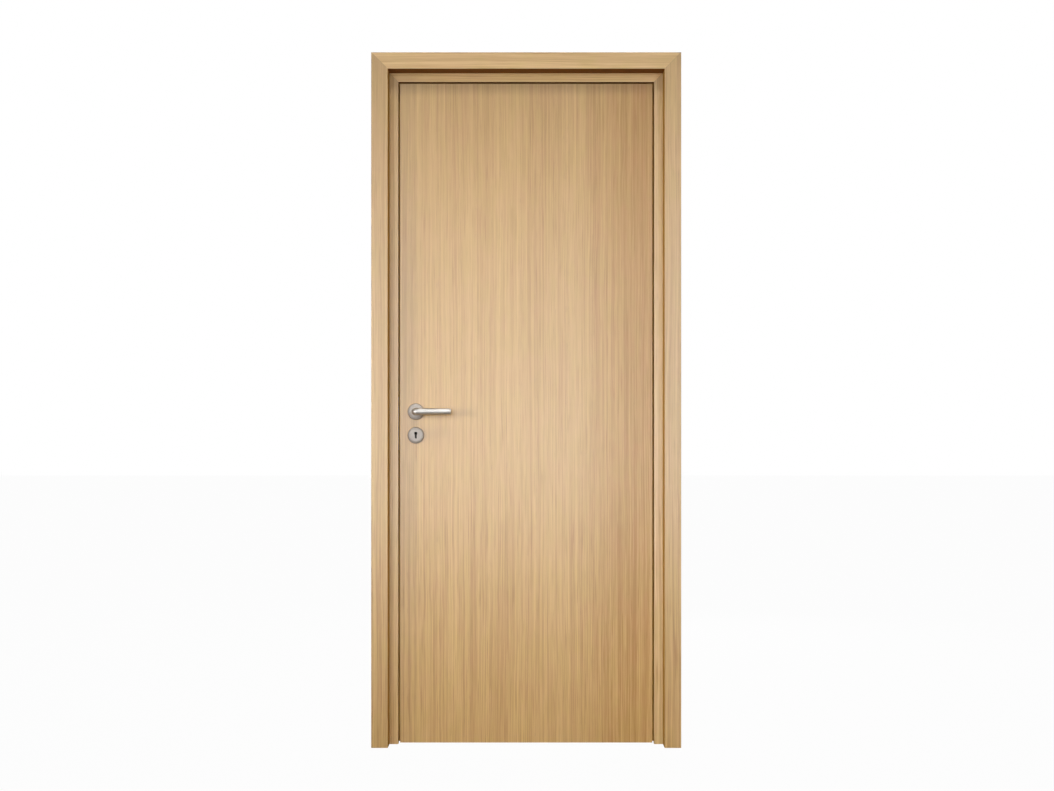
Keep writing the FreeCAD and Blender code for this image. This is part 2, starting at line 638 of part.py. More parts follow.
def recess_for_plate(body, name, deepest, edge, low, high):
    """A shallow round-cornered recess that a plate lies flush in."""
    first = (deepest, grown(PLATE_FRONT, "-"), grown(low, "-"))
    last = (edge, grown(PLATE_BACK, "+"), grown(high, "+"))
    cut_box(body, name, first, last)
    sides = (value(first[1]), value(last[1]))
    ends = (value(first[2]), value(last[2]))
    middle = (value(deepest) + value(edge)) / 2

    def is_corner(point):
        on_side = near(point.y, sides[0]) or near(point.y, sides[1])
        on_end = near(point.z, ends[0]) or near(point.z, ends[1])
        return on_side and on_end and abs(point.x - middle) < value("Sizes.plate_thickness")

    round_edges(body, is_corner, "(Sizes.plate_round + Sizes.seat_clearance)")


def make_plate(label, edge, low, high, spare):
    """A round-cornered plate with a hole for each bolt; edge is its face nearest the wall."""
    body = new_body(label)
    corners = rectangle(PLATE_FRONT, low, PLATE_BACK, high)
    face = outline(body, "YZ_Plane", label + "_face", corners, ("0", "0", edge))
    pad(body, face, "Sizes.plate_thickness")
    sides = (value(PLATE_FRONT), value(PLATE_BACK))
    ends = (value(low), value(high))

    def is_corner(point):
        on_side = near(point.y, sides[0]) or near(point.y, sides[1])
        on_end = near(point.z, ends[0]) or near(point.z, ends[1])
        return on_side and on_end

    round_edges(body, is_corner, "Sizes.plate_round")
    for bolt in BOLTS:
        hole = rectangle(*bolt_corners(bolt, spare))
        pocket(body, outline(body, "YZ_Plane", "%s_%s_hole" % (label, bolt), hole))
    return body


def make_lock():
    """Lock case, faceplate, latch and dead bolt, with both bolts drawn in."""
    case = new_body("lock_case")
    corners = rectangle(CASE_EDGE, CASE_LOW, CASE_END, CASE_TOP)
    face = outline(case, "XZ_Plane", "lock_case_face", corners, ("0", "0", "-" + CASE_FRONT))
    pad(case, face, "Sizes.lock_case_thickness", reverse=True)
    place = (LEVER_X, LEVER_Z)
    pocket(case, circle(case, "XZ_Plane", "follower_hole", place, "Sizes.follower_radius"))
    cut_keyhole(case, LEVER_X, KEY_Z)
    for bolt in BOLTS:
        front, low, back, high = bolt_corners(bolt, "Sizes.bolt_clearance")
        first = ("(%s - Sizes.cut_margin)" % CASE_EDGE, front, low)
        end = "(Sizes.bolt_length + Sizes.bolt_clearance - %s)" % LEAF_HALF
        cut_box(case, "lock_case_" + bolt, first, (end, back, high))
    make_plate("lock_faceplate", "-" + LEAF_HALF, FACEPLATE_LOW, FACEPLATE_HIGH,
               "Sizes.bolt_clearance")
    latch = make_bolt("latch_bolt", "latch")
    make_bolt("dead_bolt", "dead_bolt")
    nose_x = -value(LEAF_HALF)
    nose_y = value(bolt_corners("latch", "0")[0])
    bevel_edges(latch, lambda point: near(point.x, nose_x) and near(point.y, nose_y),
                "Sizes.latch_bevel")


def make_bolt(label, bolt):
    """A bolt from the faceplate's outer face inwards."""
    body = new_body(label)
    face = rectangle(*bolt_corners(bolt, "0"))
    sketch = outline(body, "YZ_Plane", label + "_face", face, ("0", "0", "-" + LEAF_HALF))
    pad(body, sketch, "Sizes.bolt_length")
    return body


def make_room_for_lock(lock_stile, lock_block):
    """The lock's mortise and the faceplate's recess in the leaf's timber."""
    first = (CASE_EDGE, grown(CASE_FRONT, "-"), grown(CASE_LOW, "-"))
    last = (grown(CASE_END, "+"), grown(CASE_BACK, "+"), grown(CASE_TOP, "+"))
    outside = ("(%s - Sizes.cut_margin)" % first[0], first[1], first[2])
    cut_box(lock_stile, "lock_stile_mortise", outside, last)
    cut_box(lock_block, "lock_block_mortise", outside, last)
    recess_for_plate(lock_stile, "lock_stile_recess", "(-%s - Sizes.cut_margin)" % LEAF_HALF,
                     CASE_EDGE, FACEPLATE_LOW, FACEPLATE_HIGH)


def make_strike(lock_jamb):
    """The strike plate, flush in the frame, with a mortise behind each of its holes."""
    outer = "(-%s - Sizes.plate_thickness)" % OPENING_HALF
    make_plate("strike_plate", outer, STRIKE_LOW, STRIKE_HIGH, "Sizes.strike_hole_spare")
    for bolt in BOLTS:
        front, low, back, high = bolt_corners(bolt, "Sizes.strike_hole_spare")
        first = ("(-%s - Sizes.strike_hole_depth)" % OPENING_HALF, front, low)
        last = ("(Sizes.cut_margin - %s)" % OPENING_HALF, back, high)
        cut_box(lock_jamb, "lock_jamb_" + bolt, first, last)
    recess_for_plate(lock_jamb, "lock_jamb_recess", outer,
                     "(Sizes.cut_margin - %s)" % OPENING_HALF, STRIKE_LOW, STRIKE_HIGH)


# Handle set. Each piece has its own frame: the origin on the leaf's face, on its own axis.
# outward is -1 at the front of the leaf and 1 at its back.

FACES = {"front": ("-1", "0"), "back": ("1", "Sizes.leaf_thickness")}
BORE = "(Sizes.neck_radius + Sizes.neck_clearance)"
NECK_START = "(Sizes.rose_thickness - Sizes.neck_in_rose)"
ELBOW_START = "(Sizes.lever_reach - Sizes.elbow_bend)"


def rose_profile(outward, inner):
    """Half the section of a domed rose, from an inner radius to its rim."""
    edge = "%s * (Sizes.rose_thickness - Sizes.rose_edge_drop)" % outward
    shoulder = "%s * (Sizes.rose_thickness - Sizes.rose_shoulder_drop)" % outward
    flat = "%s * Sizes.rose_thickness" % outward
    return [
        (inner, "0"),
        ("Sizes.rose_radius", "0"),
        ("Sizes.rose_radius", edge),
        ("(Sizes.rose_radius - Sizes.rose_shoulder_inset)", shoulder),
        ("(Sizes.rose_radius - Sizes.rose_flat_inset)", flat),
        (inner, flat),
    ]


def make_roses():
    """A domed rose under each lever, and one with a keyhole below it."""
    for face, (outward, plane) in FACES.items():
        across = "%s + %s" % (CENTRE_X, LEVER_X)
        rose = new_body(face + "_rose", across, plane, LEVER_Z)
        section = rose_profile(outward, BORE)
        revolve(rose, outline(rose, "XY_Plane", face + "_rose_section", section), "V_Axis")
        key_rose = new_body(face + "_escutcheon", across, plane, KEY_Z)
        section = rose_profile(outward, "0")
        sketch = outline(key_rose, "XY_Plane", face + "_escutcheon_section", section)
        revolve(key_rose, sketch, "V_Axis")
        cut_keyhole(key_rose, "0", "0")


def make_lever(face):
    """A lever: a neck that swells into the elbow, and a grip that tapers from it."""
    outward, plane = FACES[face]
    label = face + "_lever"
    body = new_body(label, "%s + %s" % (CENTRE_X, LEVER_X), plane, LEVER_Z)
    neck = [
        ("0", "%s * %s" % (outward, NECK_START)),
        ("Sizes.neck_radius", "%s * %s" % (outward, NECK_START)),
        ("Sizes.neck_radius", "%s * (Sizes.rose_thickness + Sizes.neck_collar)" % outward),
        ("Sizes.elbow_radius", "%s * %s" % (outward, ELBOW_START)),
        ("0", "%s * %s" % (outward, ELBOW_START)),
    ]
    revolve(body, outline(body, "XY_Plane", label + "_neck", neck), "V_Axis")
    offset = ("Sizes.elbow_bend", "0", "-%s * %s" % (outward, ELBOW_START))
    ring = circle(body, "XZ_Plane", label + "_elbow", ("-Sizes.elbow_bend", "0"),
                  "Sizes.elbow_radius", offset)
    revolve(body, ring, "V_Axis", 90, reverse=(face == "back"))
    grip = [
        ("Sizes.elbow_bend", "0"),
        ("Sizes.lever_length", "0"),
        ("Sizes.lever_length", "Sizes.grip_radius"),
        ("Sizes.taper_end", "Sizes.grip_radius"),
        ("Sizes.elbow_bend", "Sizes.elbow_radius"),
    ]
    offset = ("0", "%s * Sizes.lever_reach" % outward, "0")
    revolve(body, outline(body, "XY_Plane", label + "_grip", grip, offset), "H_Axis")
    end_x = value("Sizes.lever_length")
    end_radius = value("Sizes.grip_radius")
    axis_y = value("%s * Sizes.lever_reach" % outward)

    def is_end(point):
        off_axis = ((point.y - axis_y) ** 2 + point.z ** 2) ** 0.5
        return near(point.x, end_x) and near(off_axis, end_radius)

    bevel_edges(body, is_end, "Sizes.grip_bevel")
    half = "(Sizes.spindle_width / 2 + Sizes.seat_clearance)"
    socket = rectangle("-" + half, "-" + half, half, half)
    offset = ("0", "0", "-%s * %s" % (outward, NECK_START))
    pocket(body, outline(body, "XZ_Plane", label + "_socket", socket, offset),
           "Sizes.spindle_in_lever + Sizes.spindle_spare", reverse=(face == "front"))
    return body


def make_spindle():
    """The square spindle that joins both levers through the leaf."""
    body = new_body("spindle", "%s + %s" % (CENTRE_X, LEVER_X), "0", LEVER_Z)
    half = "(Sizes.spindle_width / 2)"
    reach = "(%s + Sizes.spindle_in_lever)" % NECK_START
    section = rectangle("-" + half, "-" + half, half, half)
    sketch = outline(body, "XZ_Plane", "spindle_section", section, ("0", "0", reach))
    pad(body, sketch, "Sizes.leaf_thickness + 2 * " + reach, reverse=True)


# Hinges. Each knuckle's own frame has its origin on the hinge's axis, at its middle height.

LEAF_STEM_TURN = "(180 + Sizes.leaf_stem_angle)"
FRAME_STEM_TURN = "(-Sizes.frame_stem_angle)"
STEM_RISE = "((Sizes.knuckle_gap + Sizes.knuckle_length) / 2)"
STEM_START = "(Sizes.barrel_radius - Sizes.stem_root)"


def bevel_knuckle(body, height):
    """Bevels the outer end of a knuckle."""
    end = value(height)
    radius = value("Sizes.barrel_radius")

    def is_rim(point):
        return near(point.z, end) and near((point.x ** 2 + point.y ** 2) ** 0.5, radius)

    bevel_edges(body, is_rim, "Sizes.knuckle_bevel")


def stem_place(x, y, z, turn):
    """Where a stem starts, from the hinge's axis."""
    start_x = "%s + %s * cos(%s * 1deg)" % (x, STEM_START, turn)
    start_y = "%s + %s * sin(%s * 1deg)" % (y, STEM_START, turn)
    return start_x, start_y, z


def make_hinges(leaf_bodies, frame_bodies):
    """Drill-in hinges: a lower knuckle with the pin, an upper one that lifts off it."""
    for name, height in HINGE_HEIGHTS.items():
        place = ("%s + %s" % (CENTRE_X, PIVOT_X), PIVOT_Y, height)
        end = "(Sizes.knuckle_gap / 2 + Sizes.knuckle_length)"
        pin_top = "(Sizes.hinge_pin_length - Sizes.knuckle_gap / 2)"
        lower = new_body("frame_hinge_" + name, *place)
        profile = [
            ("0", "-" + end),
            ("Sizes.barrel_radius", "-" + end),
            ("Sizes.barrel_radius", "-Sizes.knuckle_gap / 2"),
            ("Sizes.hinge_pin_radius", "-Sizes.knuckle_gap / 2"),
            ("Sizes.hinge_pin_radius", pin_top),
            ("0", pin_top),
        ]
        sketch = outline(lower, "XZ_Plane", "frame_hinge_%s_profile" % name, profile)
        revolve(lower, sketch, "V_Axis")
        bevel_knuckle(lower, "-" + end)
        stem_length = "(Sizes.frame_stem_length - %s)" % STEM_START
        start = stem_place("0", "0", "-" + STEM_RISE, FRAME_STEM_TURN)
        slanted_cylinder(lower, "AdditiveCylinder", "frame_hinge_%s_stem" % name,
                         "Sizes.stem_radius", stem_length, start, FRAME_STEM_TURN)
        upper = new_body("leaf_hinge_" + name, *place)
        bore = "(Sizes.hinge_pin_radius + Sizes.hinge_pin_clearance)"
        bore_top = "(%s + Sizes.pin_spare)" % pin_top
        profile = [
            (bore, "Sizes.knuckle_gap / 2"),
            ("Sizes.barrel_radius", "Sizes.knuckle_gap / 2"),
            ("Sizes.barrel_radius", end),
            ("0", end),
            ("0", bore_top),
            (bore, bore_top),
        ]
        sketch = outline(upper, "XZ_Plane", "leaf_hinge_%s_profile" % name, profile)
        revolve(upper, sketch, "V_Axis")
        bevel_knuckle(upper, end)
        stem_length = "(Sizes.leaf_stem_length - %s)" % STEM_START
        start = stem_place("0", "0", STEM_RISE, LEAF_STEM_TURN)
        slanted_cylinder(upper, "AdditiveCylinder", "leaf_hinge_%s_stem" % name,
                         "Sizes.stem_radius", stem_length, start, LEAF_STEM_TURN)
        drill_for_stem(leaf_bodies, name, "Sizes.leaf_stem_length",
                       "(%s + %s)" % (height, STEM_RISE), LEAF_STEM_TURN)
        drill_for_stem(frame_bodies, name, "Sizes.frame_stem_length",
                       "(%s - %s)" % (height, STEM_RISE), FRAME_STEM_TURN)


def drill_for_stem(bodies, name, length, z, turn):
    """The slanted hole that a stem sits in, through every piece that it passes."""
    for body in bodies:
        before = body.Shape.Volume
        start = stem_place(PIVOT_X, PIVOT_Y, z, turn)
        slanted_cylinder(body, "SubtractiveCylinder", "%s_%s_stem_hole" % (body.Label, name),
                         "(Sizes.stem_radius + Sizes.seat_clearance)",
                         "(%s - %s + Sizes.seat_clearance)" % (length, STEM_START), start, turn)
        if not body.Shape.Volume < before:
            raise RuntimeError("%s is not drilled" % body.Label)


jambs = make_jambs()
make_front_casings()
back_casings = make_back_casings()
make_seals()
skins = make_skins()
hinge_stile = make_stile("hinge_stile", "1")
lock_stile = make_stile("lock_stile", "-1")
make_rails()
lock_block = make_lock_block()
make_cores()
for timber in (skins["front"], skins["back"], lock_block):
    cut_bores(timber)
make_lock()
make_room_for_lock(lock_stile, lock_block)
make_strike(jambs["lock_side"])
make_roses()
make_lever("front")
make_lever("back")
make_spindle()
make_hinges((skins["back"], hinge_stile), (jambs["hinge_side"], back_casings["hinge_side"]))

DOCUMENT.recompute()
for item in DOCUMENT.Objects:
    if "Invalid" in item.State or "Error" in item.State:
        raise RuntimeError("%s failed: %s" % (item.Name, item.State))
os.makedirs(PARTS_FOLDER, exist_ok=True)
for sub_part in sub_parts:
    shape = sub_part.Shape
    if shape.isNull() or not shape.isValid():
        raise RuntimeError("%s has no valid shape" % sub_part.Label)
    shape.exportStep("%s/%s.step" % (PARTS_FOLDER, sub_part.Label))
print("%d sub-parts written" % len(sub_parts))
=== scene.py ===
"""Looks of the flush hollow core door: oak veneer, satin metal, seals, screws, camera and light.

Metres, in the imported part's own frame: -Y is the front, +X is the hinge side, Z is up.
Colours are linear RGBA.
"""

import math

import bmesh
import bpy
from mathutils import Matrix, Vector


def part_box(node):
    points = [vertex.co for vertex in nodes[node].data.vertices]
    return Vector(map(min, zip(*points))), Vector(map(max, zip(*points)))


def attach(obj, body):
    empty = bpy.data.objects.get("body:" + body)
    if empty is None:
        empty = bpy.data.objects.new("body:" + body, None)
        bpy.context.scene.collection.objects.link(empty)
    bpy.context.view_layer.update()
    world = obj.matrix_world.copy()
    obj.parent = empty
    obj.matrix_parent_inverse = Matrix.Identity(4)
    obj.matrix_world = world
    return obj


MM = 0.001

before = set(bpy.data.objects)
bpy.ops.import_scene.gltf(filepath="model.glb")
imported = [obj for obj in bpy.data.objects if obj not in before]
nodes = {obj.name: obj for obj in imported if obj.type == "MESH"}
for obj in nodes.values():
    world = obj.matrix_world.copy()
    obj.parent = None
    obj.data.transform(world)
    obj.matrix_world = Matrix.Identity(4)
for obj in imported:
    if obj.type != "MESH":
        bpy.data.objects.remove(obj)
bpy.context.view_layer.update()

# Places read from the frame
LEAF_LOW, LEAF_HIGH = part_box("front_skin")
CENTRE_X = (LEAF_LOW.x + LEAF_HIGH.x) / 2
HEAD_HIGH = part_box("head_jamb")[1]
ROSE_LOW, ROSE_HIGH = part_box("front_rose")
ROSE_X = (ROSE_LOW.x + ROSE_HIGH.x) / 2
ROSE_Z = (ROSE_LOW.z + ROSE_HIGH.z) / 2
KEY_ROSE_LOW, KEY_ROSE_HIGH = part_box("front_escutcheon")
KEY_ROSE_Z = (KEY_ROSE_LOW.z + KEY_ROSE_HIGH.z) / 2


class Nodes:
    """Short spellings for building one material's node tree."""

    def __init__(self, name):
        self.material = bpy.data.materials.new(name)
        self.material.use_nodes = True
        self.tree = self.material.node_tree
        self.shader = self.tree.nodes["Principled BSDF"]

    def put(self, kind, **settings):
        """A new node with its settings."""
        node = self.tree.nodes.new(kind)
        for key, setting in settings.items():
            setattr(node, key, setting)
        return node

    def join(self, source, target):
        """Feeds a socket from a socket, a number or a vector."""
        if isinstance(source, bpy.types.NodeSocket):
            self.tree.links.new(source, target)
        else:
            target.default_value = source

    def math(self, operation, first, second=0.0):
        """One step of arithmetic."""
        node = self.put("ShaderNodeMath", operation=operation)
        self.join(first, node.inputs[0])
        self.join(second, node.inputs[1])
        return node.outputs[0]

    def add(self, first, second):
        """The sum of two values."""
        return self.math("ADD", first, second)

    def times(self, first, second):
        """The product of two values."""
        return self.math("MULTIPLY", first, second)

    def vector(self, x, y, z):
        """A vector from three values."""
        node = self.put("ShaderNodeCombineXYZ")
        for source, target in zip((x, y, z), node.inputs):
            self.join(source, target)
        return node.outputs[0]

    def noise(self, vector, scale=1.0, detail=2.0, roughness=0.5):
        """Smooth noise between 0 and 1."""
        node = self.put("ShaderNodeTexNoise")
        self.join(vector, node.inputs["Vector"])
        node.inputs["Scale"].default_value = scale
        node.inputs["Detail"].default_value = detail
        node.inputs["Roughness"].default_value = roughness
        return node.outputs["Fac"]

    def between(self, value, low, high, out_low=0.0, out_high=1.0):
        """Maps a value smoothly from one range to another."""
        node = self.put("ShaderNodeMapRange", interpolation_type="SMOOTHSTEP")
        for source, target in zip((value, low, high, out_low, out_high), node.inputs):
            self.join(source, target)
        return node.outputs[0]

    def mix(self, factor, first, second):
        """Mixes two colours; a factor below 0 or above 1 counts as 0 or 1."""
        node = self.put("ShaderNodeMix", data_type="RGBA")
        self.join(factor, node.inputs["Factor"])
        self.join(first, node.inputs[6])
        self.join(second, node.inputs[7])
        return node.outputs[2]

    def here(self):
        """Object coordinates."""
        return self.put("ShaderNodeTexCoord").outputs["Object"]

    def split(self, vector):
        """The X, Y and Z of a vector."""
        node = self.put("ShaderNodeSeparateXYZ")
        self.join(vector, node.inputs[0])
        return node.outputs

    def paint(self, colour):
        """Gives the shader its colour."""
        self.join(colour, self.shader.inputs["Base Color"])

    def bump(self, height, distance):
        """Relief of a height over the whole surface."""
        node = self.put("ShaderNodeBump")
        self.join(height, node.inputs["Height"])
        node.inputs["Distance"].default_value = distance
        self.join(node.outputs[0], self.shader.inputs["Normal"])

    def feed(self, **sources):
        """Feeds sockets of the shader, by their names with an underscore for each space."""
        for key, source in sources.items():
            self.join(source, self.shader.inputs[key.replace("_", " ")])


# Wood

OAK_LIGHT = (0.630, 0.388, 0.135, 1)
OAK_DARK = (0.418, 0.196, 0.040, 1)
OAK_LIGHT_GOLD = (0.618, 0.390, 0.120, 1)
OAK_DARK_GOLD = (0.392, 0.196, 0.034, 1)
OAK_PORE = (0.235, 0.108, 0.026, 1)
# Painted shade for the faces that look down under the head members
OAK_UNDERSIDE_PAINTED_SHADE = (0.205, 0.078, 0.022, 1)
# The frame's paler tones are a painted sheen
PAINTED_SHEEN_GREEN = 0.25  # how much of a paler tone's extra blue its green takes

# Noises of the grain: how often each varies per metre across and along it, detail and roughness;
# and where each noise turns from 0 to 1
FIBRES = (900, 8, 2, 0.6)
PORES, PORES_TURN = (1500, 26, 1, 0.5), (0.62, 0.74)
RINGS, RINGS_TURN = (55, 0.5, 2, 0.5), (0.52, 0.60)
CLOUDS, CLOUDS_TURN = (26, 9, 2, 0.5), (0.35, 0.65)
PORES_OUTSIDE_RINGS = 0.25
# Layers that lighten the veneer: the same again, and how much
GRAIN_LAYERS = (
    ((16, 0.4, 1, 0.5), (0.30, 0.70), 0.12),  # broad bands
    ((75, 0.5, 1, 0.5), (0.36, 0.64), 0.20),  # lines
    ((200, 1.2, 2, 0.6), (0.34, 0.66), 0.44),  # streaks
    ((420, 10, 1, 0.5), (0.36, 0.64), 0.18),  # dashes
    ((240, 6, 1, 0.5), (0.58, 0.70), -0.30),  # dark ticks
)
FIBRES_LIGHTEN = 0.28

# The grain's contrast about its middle, stronger near the floor
GRAIN_MIDDLE = 0.58
CONTRAST_LOW, CONTRAST_LOW_Z = 1.30, 0.2
CONTRAST_HIGH, CONTRAST_HIGH_Z = 0.85, 1.5
PORE_COLOUR_SHARE = 0.55

# The grain's slow bends, and how far each piece's veneer lies from the one before it
BENDS_ACROSS = 5.0  # per metre
BENDS_ALONG = 1.3  # per metre
BEND_REACH = 0.022
SEED_ACROSS = 0.37
SEED_ALONG = 0.91

# The leaf is darker and duller at its right
RIGHT_FROM, RIGHT_TO = 0.12, 0.36  # metres right of its middle
LEAF_DARKER_RIGHT = 0.29
LEAF_DULLER_RIGHT = 0.34

# Surface and lacquer; the shine fades where the veneer is seen aslant
OAK_ROUGHNESS = 0.40
FIBRES_ROUGHEN = 0.10
PORES_ROUGHEN = 0.12
FIBRES_RISE = 0.35  # share of a pore's depth
OAK_RELIEF = 0.08 * MM
OAK_IOR = 1.5
LACQUER_IOR = 1.90
LACQUER_ROUGHNESS = 0.35
SHINE_FADES = (0.25, 0.75)
SPECULAR_SHARE = 0.2
EDGE_LACQUER = 0.05

# The mitres' hairline, from its full depth to its edge
MITRE_CORE = 0.2 * MM
MITRE_REACH = 0.7 * MM
MITRE_SHARE = 0.6
MITRE_TONE = 0.6

# Painted shade under the head: where a face counts as looking down, by its normal's Z, and how
# much browner the painted shade makes it
PAINTED_SHADE_TURN = (-0.9, -0.5)
PAINTED_SHADE_SHARE = 0.85


def shade(colour, tone, painted_sheen=0.0):
    """A colour made darker or lighter, and less yellow where a painted sheen asks for it."""
    shares = (1, 1 + PAINTED_SHEEN_GREEN * painted_sheen, 1 + painted_sheen)
    return tuple(channel * tone * share for channel, share in zip(colour, shares)) + (1,)


def oak(name, along, seed, tone=1.0, painted_sheen=0.0, mitred=False, fades_right=False, lacquer=1.0):
    """Oak veneer with its grain along X or Z; on the frame's pieces its tone and paleness are
    painted light and painted sheen; lacquer is how much satin coat it carries.
    """
    made = Nodes(name)
    x, y, z = made.split(made.here())
    across, length = (x, z) if along == "Z" else (z, x)
    across = made.add(across, seed * SEED_ACROSS)
    length = made.add(length, seed * SEED_ALONG)
    bend_at = made.vector(made.times(across, BENDS_ACROSS), y, made.times(length, BENDS_ALONG))
    bend = made.math("SUBTRACT", made.noise(bend_at), 0.5)
    bent = made.add(across, made.times(bend, BEND_REACH))

    def stretched(per_metre_across, per_metre_along, detail, roughness):
        wide = made.times(bent, per_metre_across)
        deep = made.times(y, per_metre_across)
        far = made.times(length, per_metre_along)
        return made.noise(made.vector(wide, deep, far), detail=detail, roughness=roughness)

    fibres = stretched(*FIBRES)
    pores = made.between(stretched(*PORES), *PORES_TURN)
    rings = made.between(stretched(*RINGS), *RINGS_TURN)
    pores_here = made.times(pores, made.between(rings, 0, 1, PORES_OUTSIDE_RINGS, 1.0))
    clouds = made.between(stretched(*CLOUDS), *CLOUDS_TURN)

    light = made.times(fibres, FIBRES_LIGHTEN)
    for noise, turn, weight in GRAIN_LAYERS:
        layer = made.between(stretched(*noise), *turn)
        light = made.add(light, made.times(layer, weight))
    contrast = made.between(z, CONTRAST_LOW_Z, CONTRAST_HIGH_Z, CONTRAST_LOW, CONTRAST_HIGH)
    light = made.times(made.math("SUBTRACT", light, GRAIN_MIDDLE), contrast)
    light = made.add(light, GRAIN_MIDDLE)
    gloss = 1.0
    if fades_right:
        to_right = made.between(x, CENTRE_X + RIGHT_FROM, CENTRE_X + RIGHT_TO)
        light = made.math("SUBTRACT", light, made.times(to_right, LEAF_DARKER_RIGHT))
        gloss = made.math("SUBTRACT", 1.0, made.times(to_right, LEAF_DULLER_RIGHT))

    warm = made.mix(light, shade(OAK_DARK, tone, painted_sheen), shade(OAK_LIGHT, tone, painted_sheen))
    gold = made.mix(light, shade(OAK_DARK_GOLD, tone, painted_sheen), shade(OAK_LIGHT_GOLD, tone, painted_sheen))
    colour = made.mix(clouds, warm, gold)
    colour = made.mix(made.times(pores_here, PORE_COLOUR_SHARE), colour, shade(OAK_PORE, tone))
    if mitred:
        colour = made.mix(mitre_line(made, x, z), colour, shade(OAK_PORE, MITRE_TONE * tone))
        if along == "X":
            # Painted shade on the faces of the head members that look down
            colour = made.mix(painted_underside_shade(made), colour, OAK_UNDERSIDE_PAINTED_SHADE)
    made.paint(colour)

    rough = made.add(OAK_ROUGHNESS, made.times(fibres, FIBRES_ROUGHEN))
    rough = made.add(rough, made.times(pores_here, PORES_ROUGHEN))
    made.bump(made.math("SUBTRACT", made.times(fibres, FIBRES_RISE), pores_here), OAK_RELIEF)
    aslant = made.put("ShaderNodeLayerWeight").outputs["Facing"]
    shine = made.between(aslant, *SHINE_FADES, lacquer, 0.0)
    made.feed(Roughness=rough, IOR=OAK_IOR, Coat_IOR=LACQUER_IOR,
              Coat_Roughness=LACQUER_ROUGHNESS, Coat_Weight=made.times(gloss, shine),
              Specular_IOR_Level=made.times(shine, SPECULAR_SHARE))
    return made.material


def painted_underside_shade(made):
    """How much a face of a head member looks down, where a shade is painted on its veneer."""
    up = made.split(made.put("ShaderNodeNewGeometry").outputs["True Normal"])[2]
    return made.between(up, *PAINTED_SHADE_TURN, PAINTED_SHADE_SHARE, 0.0)


def mitre_line(made, x, z):
    """The hairline where two members meet, at 45 degrees through the head jamb's top corners."""
    half = HEAD_HIGH.x - CENTRE_X
    out = made.math("ABSOLUTE", made.math("SUBTRACT", x, CENTRE_X))
    beyond = made.math("SUBTRACT", out, half)
    above = made.math("SUBTRACT", z, HEAD_HIGH.z)
    apart = made.math("ABSOLUTE", made.math("SUBTRACT", beyond, above))
    return made.between(apart, MITRE_CORE, MITRE_REACH, MITRE_SHARE, 0.0)


# Inside the leaf

SOFTWOOD = ((0.60, 0.42, 0.20, 1), (0.46, 0.28, 0.11, 1))
SOFTWOOD_RINGS = 90  # per metre
SOFTWOOD_ALONG = 2
SAW_MARKS = 400
SAW_RELIEF = 0.3 * MM
KRAFT = ((0.28, 0.17, 0.08, 1), (0.48, 0.32, 0.17, 1))
KRAFT_RELIEF = 0.15 * MM


def softwood(name):
    """Sawn softwood inside the leaf."""
    made = Nodes(name)
    x, y, z = made.split(made.here())
    at = made.vector(made.times(x, SOFTWOOD_RINGS), made.times(y, SOFTWOOD_RINGS),
                     made.times(z, SOFTWOOD_ALONG))
    made.paint(made.mix(made.between(made.noise(at, detail=3), 0.35, 0.65), *SOFTWOOD))
    made.bump(made.noise(made.vector(x, y, made.times(z, SAW_MARKS))), SAW_RELIEF)
    made.feed(Roughness=0.75)
    return made.material


def kraft_board(name):
    """Brown paper of the honeycomb core, with its fibres."""
    made = Nodes(name)
    fibres = made.noise(made.here(), scale=700, detail=5, roughness=0.7)
    clouds = made.noise(made.here(), scale=40)
    blend = made.add(made.times(fibres, 0.6), made.times(clouds, 0.4))
    made.paint(made.mix(blend, *KRAFT))
    made.bump(fibres, KRAFT_RELIEF)
    made.feed(Roughness=0.9)
    return made.material


# Metal and rubber

ALUMINIUM = ((0.60, 0.58, 0.55, 1), (0.72, 0.70, 0.67, 1))
ROSE_ALUMINIUM = ((0.44, 0.40, 0.365, 1), (0.56, 0.515, 0.475, 1))
NICKEL = ((0.46, 0.45, 0.42, 1), (0.62, 0.61, 0.58, 1))
STEEL = ((0.40, 0.40, 0.39, 1), (0.58, 0.58, 0.57, 1))
BLACKENED = ((0.010, 0.008, 0.007, 1), (0.030, 0.026, 0.023, 1))
RUBBER = ((0.300, 0.105, 0.038, 1), (0.380, 0.145, 0.055, 1))
METAL_RELIEF = 0.02 * MM
SCALE_RELIEF = 0.03 * MM
RUBBER_RELIEF = 0.05 * MM
BRUSHED_ACROSS = 9000  # lines per metre
BRUSHED_ALONG = 60
TURNED = 7000
DRAWN_ACROSS = 1500
DRAWN_ALONG = 30
LEVER_ROUGHNESS = 0.46
ROSE_ROUGHNESS = 0.55
PLAIN_ROUGHNESS = 0.30
LINES_ROUGHEN = 0.12


def finish_metal(made, lines, clouds, colours, roughness):
    """Colour, roughness and relief of a satin metal from fine lines and soft clouds."""
    blend = made.add(made.times(lines, 0.6), made.times(clouds, 0.4))
    made.paint(made.mix(blend, *colours))
    made.bump(lines, METAL_RELIEF)
    made.feed(Roughness=made.add(roughness, made.times(lines, LINES_ROUGHEN)), Metallic=1.0)
    return made.material


def brushed_metal(name, colours, along, roughness=PLAIN_ROUGHNESS):
    """Satin metal with fine lines along one axis."""
    made = Nodes(name)
    counts = [BRUSHED_ALONG if axis == along else BRUSHED_ACROSS for axis in "XYZ"]
    parts = made.split(made.here())
    spread = [made.times(part, count) for part, count in zip(parts, counts)]
    lines = made.noise(made.vector(*spread), detail=3)
    return finish_metal(made, lines, made.noise(made.here(), scale=60), colours, roughness)


